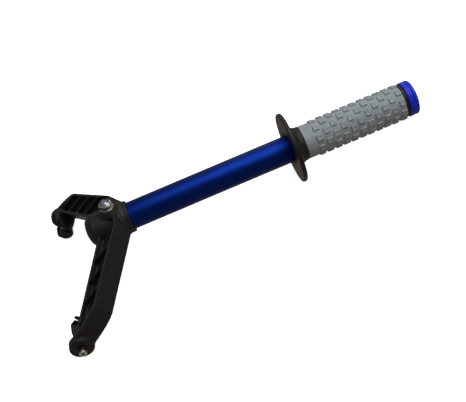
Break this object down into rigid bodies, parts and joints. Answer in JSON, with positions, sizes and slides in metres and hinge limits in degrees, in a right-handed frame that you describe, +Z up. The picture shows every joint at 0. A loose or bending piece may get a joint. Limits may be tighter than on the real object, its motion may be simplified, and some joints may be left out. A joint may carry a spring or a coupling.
{
  "type": "winch handle",
  "caption": "Two-armed hooked yoke clamped on a straight tube, with a hand guard and a free-turning ribbed grip closed by an end cap.",
  "frame": {"origin": "centre of the part's box in plan, on the ground that the hook discs and the guard's rim rest on", "axes": "+X along the handle towards the grip's end, +Y from hook to hook, +Z up from the ground, on the lock nut's side"},
  "size_m": [0.4626, 0.2444, 0.0893],
  "materials": {
    "stainless": "bright stainless steel",
    "black_rubber": "matt black",
    "blue_plastic": "satin blue plastic",
    "white_acetal": "natural acetal",
    "grey_rubber": "matt moulded rubber",
    "blue_anodised": "gloss blue anodised",
    "insert_blue": "blue nylon",
    "black_steel": "black phosphated spring steel",
    "black_nylon": "fine moulded satin"
  },
  "bodies": {
    "root": {"bolt_head_washer": "stainless", "bolt_spacer": "stainless", "cap_seal_ring": "black_rubber", "clamp_bolt": "stainless", "end_cap": "blue_plastic", "front_thrust_washer": "black_nylon", "handle_tube": "blue_anodised", "hook_nut_left": "stainless", "hook_nut_right": "stainless", "hook_screw_left": "stainless", "hook_screw_right": "stainless", "hook_washer_left": "black_nylon", "hook_washer_right": "black_nylon", "lock_nut": "stainless", "lock_nut_insert": "insert_blue", "nut_washer": "stainless", "rear_thrust_washer": "black_nylon", "retaining_ring": "black_steel", "yoke_bracket": "black_nylon"},
    "grip": {"hand_guard": "black_nylon", "grip_sleeve": "black_nylon", "grip_rubber": "grey_rubber", "front_bush": "white_acetal", "rear_bush": "white_acetal"}
  },
  "joints": [
    {"name": "grip_spin", "type": "hinge", "parent": "root", "child": "grip", "pos_m": [-0.13888, 0, 0.05594], "axis": [0.9979, 0, -0.0651], "continuous": true}
  ]
}
